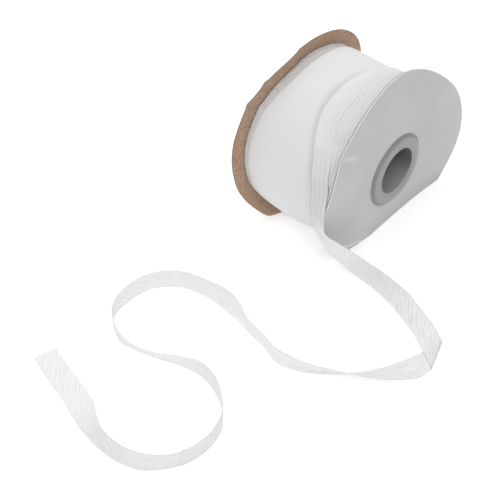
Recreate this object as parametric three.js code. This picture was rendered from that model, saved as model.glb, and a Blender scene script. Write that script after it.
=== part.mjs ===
// A spool of half inch fusible interfacing tape, standing on its flattened side with its loose end run out.
// Millimetres, +Z up. X is the axis of the spool, and the end that the tape leaves by is at +X.
// The origin is on the table, under the middle of the spool.

import * as THREE from 'three';

// Driving dimensions
const TAPE_WIDTH = 12.7;
const TAPE_THICK = 1;
const FLANGE_RADIUS = 57.15;
const SPOOL_WIDTH = 64.3;
const CARD_THICK = 1;
const AXIS_HEIGHT = 36;
const BORE_RADIUS = 13.75;
const TUBE_RADIUS = 16.5;
const COLLAR_RADIUS = 22;
const COLLAR_STANDS = 1.6;
const BORE_EDGE = 0.5;
const ROLL_RADIUS = 49;
const ROLL_TAPER = 0.8;
const ROLL_BLEND = 10;
const GAP = 0.4;
const CROWN_AT_FRONT = 0.3;
const DEGREE = Math.PI / 180;

// Where the cut across each flange meets its round rim, as angles about the axis from +Y up over the top
const CORNER_DROP = Math.asin(AXIS_HEIGHT / FLANGE_RADIUS) / DEGREE;
const LEFT_CORNER = 180 + CORNER_DROP;
const RIGHT_CORNER = 360 - CORNER_DROP;
const ANGLE_STEP = 5;

// How far the card's rim is bent along +X at each angle
const FRONT_BEND = [
  { angle: 0, bend: 5.4 },
  { angle: 30, bend: 3.4 },
  { angle: 45, bend: -0.6 },
  { angle: 60, bend: -4.8 },
  { angle: 75, bend: -7 },
  { angle: 90, bend: -6.6 },
  { angle: 120, bend: -4.4 },
  { angle: 150, bend: -3.2 },
  { angle: 180, bend: -4 },
  { angle: 195, bend: -4.6 },
  { angle: 210, bend: -2.4 },
  { angle: LEFT_CORNER, bend: 0.6 },
  { angle: 270, bend: 1 },
  { angle: RIGHT_CORNER, bend: 2.3 },
  { angle: 345, bend: 4.7 },
];
const BACK_BEND = [
  { angle: 0, bend: -4.4 },
  { angle: 30, bend: -0.2 },
  { angle: 45, bend: 1.4 },
  { angle: 90, bend: 1.6 },
  { angle: 105, bend: 1 },
  { angle: 120, bend: -1.4 },
  { angle: 135, bend: -4.4 },
  { angle: 150, bend: -6.2 },
  { angle: 165, bend: -6.6 },
  { angle: 180, bend: -6.3 },
  { angle: 195, bend: -4.3 },
  { angle: 210, bend: 0.4 },
  { angle: LEFT_CORNER, bend: 6.5 },
  { angle: 232, bend: 10 },
  { angle: 250, bend: 6 },
  { angle: 270, bend: 2 },
  { angle: RIGHT_CORNER, bend: -3 },
];
const BEND_POWER = 1.5;
const FLANGE_RINGS = [0, 0.14, 0.34, 0.56, 0.78, 1];

// The collar's rounded shoulder: distance in from its rim, and drop below its top
const COLLAR_SHOULDER = [
  { inward: 2.6, drop: 0.4 },
  { inward: 0.9, drop: 0.9 },
  { inward: 0, drop: 1.3 },
];

// The last turn's free edge on the roll, and how far it stands above the turns below
const LAST_TURN = [
  { angle: -40, edge: 7, height: 0 },
  { angle: 0, edge: 6.5, height: 0.8 },
  { angle: 40, edge: 5.5, height: 0.8 },
  { angle: 65, edge: 4.3, height: 0.8 },
  { angle: 90, edge: 2.2, height: 0.8 },
  { angle: 110, edge: 0.4, height: 0.8 },
  { angle: 128, edge: 1.6, height: 0.8 },
  { angle: 147, edge: 6.8, height: 0.8 },
  { angle: 150, edge: 7.7, height: 0 },
  { angle: 230, edge: 10, height: 0 },
];
// Ridges across the last turn, from its free edge: place, and share of the turn's height
const LAST_TURN_RIDGES = [
  { place: 0, share: 0 },
  { place: 0.4, share: 1 },
  { place: 3, share: 0.6 },
  { place: 6.2, share: 1.05 },
  { place: 9.4, share: 0.6 },
  { place: 12.3, share: 1 },
  { place: TAPE_WIDTH, share: 0 },
];
// The strip of lower turns beside the back flange
const LOW_STRIP = [
  { angle: 0, width: 4, drop: 1.3 },
  { angle: 60, width: 5, drop: 1.3 },
  { angle: 110, width: 5, drop: 1.3 },
  { angle: 150, width: 3.5, drop: 1.1 },
  { angle: 190, width: 2.4, drop: 1.4 },
  { angle: 215, width: 3, drop: 2.2 },
  { angle: 240, width: 3, drop: 1.5 },
];
const STRIP_STEP = 0.5;
// The turns between that strip and the last turn hang slack at the lower left
const SLACK = [
  { angle: 180, swell: 0 },
  { angle: 215, swell: 1.7 },
  { angle: 240, swell: 0 },
];
const MIDDLE_SHARES = [0, 0.25, 0.5, 0.75, 0.96];

// The tape leaves the roll and crosses the flange's rim. Its edges are named from the roll: rim is the edge that
// lay beside the front flange, and mid is the other
const TAKE_OFF = [
  { rim: [20.4, -43.4, 62.6], mid: [7.8, -43.2, 61] },
  { rim: [22.7, -49.3, 54.9], mid: [10.7, -47.5, 53] },
  { rim: [24.6, -54.5, 46.8], mid: [13.8, -51.3, 45.5] },
  { rim: [26, -59.9, 39.7], mid: [16.8, -55.5, 39.1] },
  { rim: [30, -61.4, 32.3], mid: [20.5, -58.5, 32.6] },
  { rim: [33.6, -59.2, 27.8], mid: [24.3, -59, 27] },
  { rim: [36.4, -56.7, 25], mid: [27.9, -58.3, 22] },
  { rim: [39, -53.9, 21.4], mid: [30.7, -57.2, 17.6] },
  { rim: [41.4, -50.6, 17.3], mid: [33, -56, 13.9] },
  { rim: [43.5, -46.9, 12.8], mid: [35.6, -54.9, 10.7] },
  { rim: [45.2, -43.2, 8], mid: [38.6, -53.7, 7.7] },
  { rim: [47, -40, 3.6], mid: [42.6, -52.2, 4.2] },
  { rim: [50, -38, 1.2], mid: [48, -50.5, 1.5] },
];
// The run to the fold lies flat on the table
const RUN_OUT = [
  { rim: [61, -38.7], mid: [58, -51.1] },
  { rim: [76.3, -42.1], mid: [72.6, -54.9] },
  { rim: [89.3, -47.7], mid: [85.2, -60] },
  { rim: [97, -51.2], mid: [96, -65.5] },
  { rim: [103.2, -55], mid: [107, -72.2] },
];
// The fold line, and the second layer as it swings clear of the first
const FOLD = { rim: [108.5, -58.7], mid: [114.7, -77.3], radius: 0.95 };
const SECOND_LAYER = [
  { rim: [106.9, -63.9, 2.4], mid: [114.3, -81.2, 2.4] },
  { rim: [105.4, -68.8, 2.3], mid: [114.3, -82.6, 2] },
  { rim: [103.1, -74.8, 1.7], mid: [113.6, -85.2, 1.3] },
  { rim: [101, -80.4, 0.9], mid: [112.1, -87.7, 0.9] },
];
// From there the rim edge rests on the table, and the tape leans up from it: 0 is flat to the left of the way
// that the tape runs, 90 is on edge, and 180 is flat to the right
const LOOP = [
  { x: 98.4, y: -85.6, lean: 3 },
  { x: 96, y: -91.5, lean: 17 },
  { x: 91, y: -98.9, lean: 31 },
  { x: 83, y: -108, lean: 51 },
  { x: 71.4, y: -117.9, lean: 69 },
  { x: 62.6, y: -122.7, lean: 79 },
  { x: 51.5, y: -125, lean: 87 },
  { x: 41, y: -121.4, lean: 84 },
  { x: 29.2, y: -118.9, lean: 85 },
  { x: 17.1, y: -115.5, lean: 98 },
  { x: 5, y: -114.4, lean: 105 },
  { x: -7.1, y: -114, lean: 94 },
  { x: -18.4, y: -116.2, lean: 89 },
  { x: -27.2, y: -122.3, lean: 89 },
  { x: -33.1, y: -131.2, lean: 88 },
  { x: -34.8, y: -143.5, lean: 89 },
  { x: -34, y: -153.5, lean: 86 },
  { x: -28.5, y: -161.2, lean: 90 },
  { x: -18, y: -166.2, lean: 98 },
  { x: -6.9, y: -164.7, lean: 116 },
  { x: 5.8, y: -161.5, lean: 116 },
  { x: 18.1, y: -157.8, lean: 107 },
  { x: 29, y: -156.4, lean: 95 },
  { x: 40.2, y: -159.4, lean: 88 },
  { x: 50.5, y: -165, lean: 91 },
  { x: 58.7, y: -174.3, lean: 90 },
  { x: 61.9, y: -187.2, lean: 87 },
  { x: 60.3, y: -199.3, lean: 87 },
  { x: 54.6, y: -209.1, lean: 85 },
  { x: 45.5, y: -217.8, lean: 94 },
  { x: 33.5, y: -221.5, lean: 99 },
  { x: 21.2, y: -221.7, lean: 106 },
  { x: 10, y: -220.3, lean: 130 },
  { x: -1.5, y: -216.8, lean: 158 },
  { x: -13, y: -212.5, lean: 178 },
  { x: -25, y: -209.1, lean: 180 },
  { x: -42.6, y: -203.4, lean: 180 },
];
const STEPS_PER_ROW = 4;

// A smooth curve through a table's rows, read at any value of its first column
function through(table, column, round) {
  const rows = round ? [...table.slice(-2).map((row) => ({ ...row, angle: row.angle - 360 })), ...table,
    ...table.slice(0, 2).map((row) => ({ ...row, angle: row.angle + 360 }))] : table;
  const at = rows.map((row) => row.angle);
  const value = rows.map((row) => row[column]);
  const slope = rows.map((row, i) => {
    const low = Math.max(i - 1, 0);
    const high = Math.min(i + 1, rows.length - 1);
    return (value[high] - value[low]) / (at[high] - at[low]);
  });
  return (angle) => {
    const place = Math.min(Math.max(angle, at[0]), at[at.length - 1]);
    const i = Math.min(at.findLastIndex((start) => start <= place), at.length - 2);
    const span = at[i + 1] - at[i];
    const t = (place - at[i]) / span;
    const rise = value[i + 1] - value[i];
    const curve = (slope[i] * span - rise) * (1 - t) - (slope[i + 1] * span - rise) * t;
    return value[i] + rise * t + t * (1 - t) * curve;
  };
}

const bends = {
  front: through(FRONT_BEND, 'bend', true),
  back: through(BACK_BEND, 'bend', true),
};

// The card is flat under the collar and bends more and more towards its rim
function cardBend(side, radius, angle) {
  const share = Math.max(0, radius - COLLAR_RADIUS) / (FLANGE_RADIUS - COLLAR_RADIUS);
  return bends[side](angle) * share ** BEND_POWER;
}

// Angles round the spool, with the nearest one moved onto each corner of the flanges
function anglesRound() {
  const angles = [];
  for (let angle = 0; angle < 360; angle += ANGLE_STEP) {
    const corner = [LEFT_CORNER, RIGHT_CORNER].find((place) => Math.abs(place - angle) < ANGLE_STEP / 2);
    angles.push(corner ?? angle);
  }
  return angles;
}

// Reach of a round of this radius that is cut flat at the table, with its corners blended by an arc
function flattenedRadius(radius, blend, angle) {
  const side = Math.abs(Math.cos(angle * DEGREE));
  const down = -Math.sin(angle * DEGREE);
  const across = Math.sqrt((radius - blend) ** 2 - (AXIS_HEIGHT - blend) ** 2);
  const below = AXIS_HEIGHT - blend;
  if (down * across <= below * side) return radius;
  if (down * across >= AXIS_HEIGHT * side) return AXIS_HEIGHT / down;
  const along = across * side + below * down;
  return along + Math.sqrt(blend ** 2 - across ** 2 - below ** 2 + along ** 2);
}

// A closed solid from triangles, turned so that its faces point out
function solid(points, triangles) {
  const volume = triangles.reduce((sum, [a, b, c]) => sum + points[a].dot(points[b].clone().cross(points[c])), 0);
  const order = volume < 0 ? triangles.map(([a, b, c]) => [a, c, b]) : triangles;
  const geometry = new THREE.BufferGeometry().setFromPoints(points);
  geometry.setIndex(order.flat());
  geometry.computeVertexNormals();
  return geometry;
}

// Triangles between two closed sections that hold the same number of points
function band(first, second, count) {
  const triangles = [];
  for (let i = 0; i < count; i += 1) {
    const next = (i + 1) % count;
    triangles.push([first + i, first + next, second + next], [first + i, second + next, second + i]);
  }
  return triangles;
}

// A solid swept round the axis, whose closed section of [x, radius] points changes with the angle
function sweptRound(sectionAt) {
  const angles = anglesRound();
  const points = [];
  for (const angle of angles) {
    for (const [x, radius] of sectionAt(angle)) {
      const turn = angle * DEGREE;
      points.push(new THREE.Vector3(x, radius * Math.cos(turn), AXIS_HEIGHT + radius * Math.sin(turn)));
    }
  }
  const count = points.length / angles.length;
  const triangles = angles.flatMap((_, i) => band(i * count, ((i + 1) % angles.length) * count, count));
  return solid(points, triangles);
}

// Die-cut card disc with one flat edge, from the core's collar to the rim
function flange(side) {
  const direction = side === 'front' ? 1 : -1;
  const bore = TUBE_RADIUS + GAP;
  return sweptRound((angle) => {
    const rim = flattenedRadius(FLANGE_RADIUS, 0, angle);
    const radii = FLANGE_RINGS.map((share) => bore + share * (rim - bore));
    const outer = radii.map((radius) => [direction * SPOOL_WIDTH / 2 + cardBend(side, radius, angle), radius]);
    const inner = outer.map(([x, radius]) => [x - direction * CARD_THICK, radius]);
    return [...outer, ...inner.reverse()];
  });
}

// Tube with a rounded collar on each end, which stands on the card
function core() {
  const face = SPOOL_WIDTH / 2 + GAP;
  const tip = face + COLLAR_STANDS;
  const end = [
    [BORE_RADIUS, tip - BORE_EDGE],
    [BORE_RADIUS + BORE_EDGE, tip],
    [BORE_RADIUS + 3 * BORE_EDGE, tip],
    ...COLLAR_SHOULDER.map((row) => [COLLAR_RADIUS - row.inward, tip - row.drop]),
    [COLLAR_RADIUS, face],
    [TUBE_RADIUS, face],
  ];
  const other = end.map(([radius, x]) => [radius, -x]).reverse();
  const profile = [...end, ...other, end[0]].reverse().map(([radius, x]) => new THREE.Vector2(radius, x));
  const geometry = new THREE.LatheGeometry(profile, 48);
  geometry.rotateZ(-Math.PI / 2);
  geometry.translate(0, 0, AXIS_HEIGHT);
  return geometry;
}

const lastTurn = { edge: through(LAST_TURN, 'edge', false), height: through(LAST_TURN, 'height', false) };
const slack = through(SLACK, 'swell', false);
const lowStrip = { width: through(LOW_STRIP, 'width', true), drop: through(LOW_STRIP, 'drop', true) };

// The wound tape: one thick ring between the flanges, pressed flat where it lies on the table
function woundTape() {
  const bore = TUBE_RADIUS + GAP;
  const sideShares = [0, 0.3, 0.62];
  const sideX = (side, radius, angle) => {
    const direction = side === 'front' ? 1 : -1;
    return direction * (SPOOL_WIDTH / 2 - CARD_THICK - GAP) + cardBend(side, radius, angle);
  };
  return sweptRound((angle) => {
    const turn = angle > 300 ? angle - 360 : angle;
    const reach = (x, raised) => {
      const radius = ROLL_RADIUS - ROLL_TAPER * (x / (SPOOL_WIDTH / 2)) + raised;
      return [x, flattenedRadius(radius, ROLL_BLEND, angle)];
    };
    const back = sideX('back', flattenedRadius(ROLL_RADIUS, ROLL_BLEND, angle), angle);
    const front = sideX('front', flattenedRadius(ROLL_RADIUS, ROLL_BLEND, angle), angle);
    const width = lowStrip.width(angle);
    const drop = -lowStrip.drop(angle);
    const edge = lastTurn.edge(turn);
    const height = lastTurn.height(turn);
    const step = back + width + STRIP_STEP;
    const across = [
      reach(back, drop),
      reach(back + width, drop),
      ...MIDDLE_SHARES.map((share) => (
        reach(step + share * (edge - step), slack(angle) * Math.sin(Math.PI * share)))),
      ...LAST_TURN_RIDGES.map((ridge) => reach(edge + ridge.place, height * ridge.share)),
      reach((edge + TAPE_WIDTH + front) / 2, CROWN_AT_FRONT),
      reach(front, 0),
    ];
    const upTo = (side, top) => sideShares.map((share) => {
      const radius = bore + share * (top - bore);
      return [sideX(side, radius, angle), radius];
    });
    return [...upTo('back', across[0][1]), ...across, ...upTo('front', across[across.length - 1][1]).reverse()];
  });
}

// Stations of the loose end, each with the tape's two edges
function looseStations() {
  const flat = TAPE_THICK / 2;
  const place = ([x, y, z = flat]) => new THREE.Vector3(x, y, z);
  const stations = [...TAKE_OFF, ...RUN_OUT].map((row) => [place(row.rim), place(row.mid)]);
  const foldLine = place(FOLD.mid).sub(place(FOLD.rim));
  const slide = Math.sqrt(foldLine.lengthSq() - TAPE_WIDTH ** 2) / TAPE_WIDTH;
  const alongFold = foldLine.normalize();
  const outOfFold = new THREE.Vector3(-alongFold.y, alongFold.x, 0);
  for (const turn of [-90, -45, 0, 45, 90]) {
    const retreat = FOLD.radius * (1 - Math.cos(turn * DEGREE));
    const bend = outOfFold.clone().multiplyScalar(-retreat);
    bend.addScaledVector(alongFold, Math.sign(turn) * slide * retreat);
    bend.z = FOLD.radius * (1 + Math.sin(turn * DEGREE));
    stations.push([place(FOLD.rim).add(bend), place(FOLD.mid).add(bend)]);
  }
  stations.push(...SECOND_LAYER.map((row) => [place(row.rim), place(row.mid)]));
  LOOP.forEach((row, i) => {
    const before = LOOP[Math.max(i - 1, 0)];
    const after = LOOP[Math.min(i + 1, LOOP.length - 1)];
    const toLeft = new THREE.Vector3(before.y - after.y, after.x - before.x, 0).normalize();
    const lean = row.lean * DEGREE;
    const across = toLeft.multiplyScalar(Math.cos(lean)).setZ(Math.sin(lean));
    const rim = new THREE.Vector3(row.x, row.y, flat * Math.abs(Math.cos(lean)));
    stations.push([rim, rim.clone().addScaledVector(across, TAPE_WIDTH)]);
  });
  return stations;
}

// The loose end: a thin strip that follows its two edges
function tapeEnd() {
  const stations = looseStations();
  const curves = [0, 1].map((edge) => (
    new THREE.CatmullRomCurve3(stations.map((station) => station[edge]), false, 'centripetal')));
  const steps = (stations.length - 1) * STEPS_PER_ROW;
  const points = [];
  for (let i = 0; i <= steps; i += 1) {
    const [rim, mid] = curves.map((curve) => curve.getPoint(i / steps));
    const [alongRim, alongMid] = curves.map((curve) => curve.getTangent(i / steps));
    const across = mid.clone().sub(rim);
    const normal = alongRim.clone().add(alongMid).cross(across).normalize().multiplyScalar(TAPE_THICK / 2);
    const corners = [rim.clone().add(normal), mid.clone().add(normal), mid.clone().sub(normal),
      rim.clone().sub(normal)];
    for (const corner of corners) {
      corner.z = Math.max(corner.z, 0);
      points.push(corner);
    }
  }
  const triangles = [[0, 1, 2], [0, 2, 3]];
  for (let i = 0; i < steps; i += 1) triangles.push(...band(i * 4, (i + 1) * 4, 4).map(([a, b, c]) => [a, c, b]));
  const last = steps * 4;
  triangles.push([last, last + 2, last + 1], [last, last + 3, last + 2]);
  return solid(points, triangles);
}

const materials = {
  card: { color: 0xbdbdbd, roughness: 0.75 },
  hub: { color: 0xa9a9a9, roughness: 0.5 },
  tape: { color: 0xf0f0ee, roughness: 0.9 },
};

function piece(name, geometry, finish) {
  const mesh = new THREE.Mesh(geometry, new THREE.MeshStandardMaterial({ ...materials[finish], metalness: 0 }));
  mesh.name = name;
  return mesh;
}

const spool = new THREE.Group();
spool.add(piece('core', core(), 'hub'));
spool.add(piece('flange_front', flange('front'), 'card'));
spool.add(piece('flange_back', flange('back'), 'card'));
spool.add(piece('wound_tape', woundTape(), 'tape'));
spool.add(piece('tape_end', tapeEnd(), 'tape'));

export default spool;
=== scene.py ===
# %% [markdown]
# # A roll of fusible interfacing tape
# The real thing is a sheer knitted tape, half an inch wide, wound on a spool. The spool is a tube with a
# collar at each end and two die-cut card discs, grey paper outside and kraft inside. The roll stands on the
# flat edge of the discs, and a long end of tape has run out over the rim and across the table.
#
# The sizes come from the CAD model, which is loaded first and never changed. Each visible piece is then
# made again as a fine surface that fits over its CAD solid, because a plain solid shows no weave and no
# soft edges.

import bpy
import numpy as np
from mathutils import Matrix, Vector


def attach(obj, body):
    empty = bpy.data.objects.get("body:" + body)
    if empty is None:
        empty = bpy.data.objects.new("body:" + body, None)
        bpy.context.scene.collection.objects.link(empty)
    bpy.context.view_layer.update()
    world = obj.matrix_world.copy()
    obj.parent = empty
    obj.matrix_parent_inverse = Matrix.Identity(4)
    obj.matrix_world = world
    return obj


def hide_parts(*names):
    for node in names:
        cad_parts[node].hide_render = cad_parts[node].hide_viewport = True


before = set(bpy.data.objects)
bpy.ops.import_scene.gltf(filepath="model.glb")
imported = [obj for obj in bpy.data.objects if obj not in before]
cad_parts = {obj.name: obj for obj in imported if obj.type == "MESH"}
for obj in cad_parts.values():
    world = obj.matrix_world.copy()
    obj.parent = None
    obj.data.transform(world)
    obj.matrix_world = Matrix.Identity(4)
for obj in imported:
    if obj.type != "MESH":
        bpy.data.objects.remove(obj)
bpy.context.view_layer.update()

# %% [markdown]
# ## Where the camera stands
# The photograph was measured from the round discs, which show as ellipses: it looks down at about 45
# degrees from the right of the spool's front. The camera is set by that view, by how far off it stands, and
# by the pixel where the middle of the spool falls.

# %% Place the camera
MM = 0.001
AXIS_HEIGHT = 36.0
PICTURE_PIXELS = 500.0
FOCAL_PIXELS = 1300.0
CAMERA_DISTANCE = 0.728
CAMERA_TURN = np.radians(40.5)
CAMERA_RISE = np.radians(44.6)
SPOOL_PIXEL_X = 348.2
SPOOL_PIXEL_Y = 145.2

turn_sin, turn_cos = np.sin(CAMERA_TURN), np.cos(CAMERA_TURN)
rise_sin, rise_cos = np.sin(CAMERA_RISE), np.cos(CAMERA_RISE)
forward = np.array([-turn_sin * rise_cos, turn_cos * rise_cos, -rise_sin])
rightward = np.array([turn_cos, turn_sin, 0.0])
upward = np.array([-turn_sin * rise_sin, turn_cos * rise_sin, rise_cos])
right_share = (SPOOL_PIXEL_X - PICTURE_PIXELS / 2) / FOCAL_PIXELS
up_share = (PICTURE_PIXELS / 2 - SPOOL_PIXEL_Y) / FOCAL_PIXELS

camera_data = bpy.data.cameras.new("camera")
camera_data.sensor_width = 36.0
camera_data.lens = camera_data.sensor_width * FOCAL_PIXELS / PICTURE_PIXELS
camera = bpy.data.objects.new("camera", camera_data)
spool_middle = np.array([0.0, 0.0, AXIS_HEIGHT * MM])
camera.location = spool_middle - CAMERA_DISTANCE * (forward + right_share * rightward + up_share * upward)
camera.rotation_euler = Vector(forward).to_track_quat("-Z", "Y").to_euler()
bpy.context.scene.collection.objects.link(camera)
bpy.context.scene.camera = camera
print("camera at", [round(value, 3) for value in camera.location], "lens", round(camera_data.lens, 1), "mm")

# %% [markdown]
# ## Floor and light
# The object is white on white, so hard lamps would either burn it out or drown it in shadow. A pale world
# lights it from every side, which draws soft dark lines only where two surfaces nearly touch, and two wide
# lamps above make the top of the roll the brightest part. The floor gives off a little light of its own, as
# a light table does, so shadows on it stay faint. The Standard view keeps pale greys as they are.

# %% Make the floor and the light
WORLD_STRENGTH = 0.68
LAMP_SIZE = 1.3
LAMPS = [("back_lamp", (-0.65, 0.3, 1.25), 7.5), ("front_lamp", (0.55, -0.45, 1.4), 5.0)]
FLOOR_HALF = 4.0

world = bpy.data.worlds.new("studio")
world.use_nodes = True
world.node_tree.nodes["Background"].inputs["Color"].default_value = (1.0, 1.0, 1.0, 1.0)
world.node_tree.nodes["Background"].inputs["Strength"].default_value = WORLD_STRENGTH
bpy.context.scene.world = world
bpy.context.scene.view_settings.view_transform = "Standard"

for lamp_name, lamp_place, lamp_power in LAMPS:
    lamp_data = bpy.data.lights.new(lamp_name, "AREA")
    lamp_data.energy = lamp_power
    lamp_data.size = LAMP_SIZE
    lamp = bpy.data.objects.new(lamp_name, lamp_data)
    lamp.location = lamp_place
    lamp.rotation_euler = (-Vector(lamp_place)).to_track_quat("-Z", "Y").to_euler()
    bpy.context.scene.collection.objects.link(lamp)

floor_corners = FLOOR_HALF * np.array([[-1, -1, 0], [1, -1, 0], [1, 1, 0], [-1, 1, 0]])
floor_mesh = bpy.data.meshes.new("floor")
floor_mesh.from_pydata(floor_corners, [], [(0, 1, 2, 3)])
floor = bpy.data.objects.new("floor", floor_mesh)
bpy.context.scene.collection.objects.link(floor)

# %% [markdown]
# ## Node maths as plain sums
# A procedural finish is mostly arithmetic on masks. Wiring every Math node by hand hides that, so a small
# class wraps a socket and gives it the usual operators. One method makes any other node: it takes the
# node's type, then its settings, then what goes into its sockets.


# %% The finish helpers
class Signal:
    """One output socket, so that a mask can be written as a sum."""

    def __init__(self, finish, socket):
        self.finish = finish
        self.socket = socket

    def maths(self, operation, *inputs):
        return self.finish.node("ShaderNodeMath", {"operation": operation}, inputs)

    def __add__(self, other):
        return self.maths("ADD", self, other)

    def __sub__(self, other):
        return self.maths("SUBTRACT", self, other)

    def __rsub__(self, other):
        return self.maths("SUBTRACT", other, self)

    def __mul__(self, other):
        return self.maths("MULTIPLY", self, other)

    __radd__ = __add__
    __rmul__ = __mul__

    def most(self, other):
        return self.maths("MAXIMUM", self, other)

    def between(self, low, high, start=0.0, end=1.0):
        """Goes smoothly from start to end as the signal goes from low to high, and stays level outside."""
        return self.finish.node(
            "ShaderNodeMapRange",
            {"interpolation_type": "SMOOTHSTEP"},
            {"Value": self, "From Min": low, "From Max": high, "To Min": start, "To Max": end},
        )


class Finish:
    """A procedural material: its nodes are made by the methods below."""

    def __init__(self, name):
        self.material = bpy.data.materials.new(name)
        self.material.use_nodes = True
        self.tree = self.material.node_tree
        self.tree.nodes.clear()

    def node(self, kind, settings, inputs, output=0):
        """Makes a node of a kind, sets it, then fills its sockets by name or by number."""
        made = self.tree.nodes.new(kind)
        for name, value in settings.items():
            setattr(made, name, value)
        pairs = inputs.items() if isinstance(inputs, dict) else enumerate(inputs)
        for key, value in pairs:
            if isinstance(value, Signal):
                self.tree.links.new(value.socket, made.inputs[key])
            else:
                made.inputs[key].default_value = value
        return Signal(self, made.outputs[output])

    def attribute(self, name):
        """A number that the mesh holds at each point."""
        return self.node("ShaderNodeAttribute", {"attribute_name": name}, {}, "Fac")

    def place(self, uv_map=None):
        """Where on the piece we are: the point itself in metres, or its UV map in millimetres."""
        if uv_map:
            return self.node("ShaderNodeUVMap", {"uv_map": uv_map}, {})
        return self.node("ShaderNodeTexCoord", {}, {}, "Object")

    def turned(self, place, turn=0.0, stretch=(1.0, 1.0, 1.0)):
        """The place after a turn about its third axis and then a stretch of each axis."""
        spun = self.node("ShaderNodeMapping", {}, {"Vector": place, "Rotation": (0.0, 0.0, np.radians(turn))})
        return self.node("ShaderNodeVectorMath", {"operation": "MULTIPLY"}, [spun, stretch])

    def noise(self, place, scale=1.0, detail=2.0, roughness=0.5, distortion=0.0):
        values = {"Vector": place, "Scale": scale, "Detail": detail, "Roughness": roughness,
                  "Distortion": distortion}
        return self.node("ShaderNodeTexNoise", {}, values, "Fac")

    def axis(self, place, number):
        return self.node("ShaderNodeSeparateXYZ", {}, [place], number)

    def blend(self, share, first, second):
        """Goes from the first colour to the second as share goes from 0 to 1."""
        return self.node("ShaderNodeMix", {"data_type": "RGBA"}, {0: share, 6: first, 7: second}, 2)

    def relief(self, height, depth):
        """A normal from a height signal of 0 to 1 that stands for a depth in millimetres."""
        return self.node("ShaderNodeBump", {}, {"Height": height, "Distance": depth * MM, "Strength": 1.0})

    def surface(self, **inputs):
        """The shader itself. An underscore in a name stands for the blank in the socket's name."""
        sockets = {name.replace("_", " "): value for name, value in inputs.items()}
        shader = self.node("ShaderNodeBsdfPrincipled", {}, sockets)
        output = self.tree.nodes.new("ShaderNodeOutputMaterial")
        self.tree.links.new(shader.socket, output.inputs["Surface"])
        return self.material


def grey(level):
    return (level, level, level, 1.0)


# %% Finish of the floor
floor_finish = Finish("plain_floor")
floor_mesh.materials.append(floor_finish.surface(
    Base_Color=grey(0.93), Roughness=0.9, Emission_Color=grey(1.0), Emission_Strength=0.30))

# %% [markdown]
# ## From a grid of points to a piece
# Every piece here is a surface over two parameters: once round and once along a section, or along a tape
# and across it. The points come as one array, so numpy works out all of them at once, and the faces are
# simply the squares between neighbours. A direction that closes on itself joins its last points to its
# first.


# %% The mesh helpers
def fitted_piece(name, points, closed, finish, replaced, uv=None, masks=None, caps=False):
    """Makes an object from a grid of points in millimetres, shaped (rows, columns, 3).

    Each face joins points (i, j), (i + 1, j), (i + 1, j + 1) and (i, j + 1). closed says whether the rows and
    the columns go round. uv has one more row or column than the points where they do. caps closes the first
    and the last row of a flat section, whose second half comes back under its first."""
    rows, columns = points.shape[:2]
    across = rows if closed[0] else rows - 1
    along = columns if closed[1] else columns - 1
    i, j = np.meshgrid(np.arange(across), np.arange(along), indexing="ij")
    row = np.stack([i, i + 1, i + 1, i], axis=-1).reshape(-1, 4)
    column = np.stack([j, j, j + 1, j + 1], axis=-1).reshape(-1, 4)
    faces = (row % rows) * columns + column % columns
    corner_uv = None if uv is None else uv[row, column].reshape(-1, 2)
    if caps:
        near = np.arange(columns // 2 - 1)
        first_end = np.stack([near, near + 1, columns - 2 - near, columns - 1 - near], axis=-1)
        last_end = first_end[:, ::-1]
        faces = np.vstack([faces, first_end, (rows - 1) * columns + last_end])
        corner_uv = np.vstack([corner_uv, uv[0, first_end].reshape(-1, 2), uv[-1, last_end].reshape(-1, 2)])
    mesh = bpy.data.meshes.new(name)
    mesh.from_pydata(points.reshape(-1, 3) * MM, [], faces)
    if corner_uv is not None:
        layer = mesh.uv_layers.new(name="cloth")
        layer.uv.foreach_set("vector", corner_uv.astype(np.float32).ravel())
    for mask, values in (masks or {}).items():
        attribute = mesh.attributes.new(mask, "FLOAT", "POINT")
        attribute.data.foreach_set("value", values.astype(np.float32).ravel())
    mesh.shade_smooth()
    mesh.materials.append(finish)
    piece = bpy.data.objects.new(name, mesh)
    bpy.context.scene.collection.objects.link(piece)
    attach(piece, "root")
    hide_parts(replaced)
    mesh.calc_loop_triangles()
    print(name, len(mesh.loop_triangles), "triangles")
    return piece


# %% [markdown]
# ## Reading a short table as a smooth curve
# Card bends and tape edges wander without a formula, so they are held as short tables. A cubic through the
# rows keeps them smooth. Small unevenness comes from random numbers on a coarse lattice, always from the
# same seed.


# %% The curve helpers
def table_curve(table, places, period=None):
    """A cubic through rows of (place, value). The slope at a row is that between its two neighbours."""
    at, value = np.array(table, float).T
    if period:
        at = np.concatenate([at[-2:] - period, at, at[:2] + period])
        value = np.concatenate([value[-2:], value, value[:2]])
    number = np.arange(len(at))
    low, high = np.maximum(number - 1, 0), np.minimum(number + 1, len(at) - 1)
    slope = (value[high] - value[low]) / (at[high] - at[low])
    places = np.clip(places, at[0], at[-1])
    i = np.clip(np.searchsorted(at, places, side="right") - 1, 0, len(at) - 2)
    span = at[i + 1] - at[i]
    t = (places - at[i]) / span
    rise = value[i + 1] - value[i]
    bow = (slope[i] * span - rise) * (1 - t) - (slope[i + 1] * span - rise) * t
    return value[i] + rise * t + t * (1 - t) * bow


def smooth_step(values, low, high):
    """0 up to low and 1 from high on. Between them: three times the share squared, less twice its cube."""
    share = np.clip((values - low) / (high - low), 0, 1)
    return share * share * (3 - 2 * share)


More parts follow.
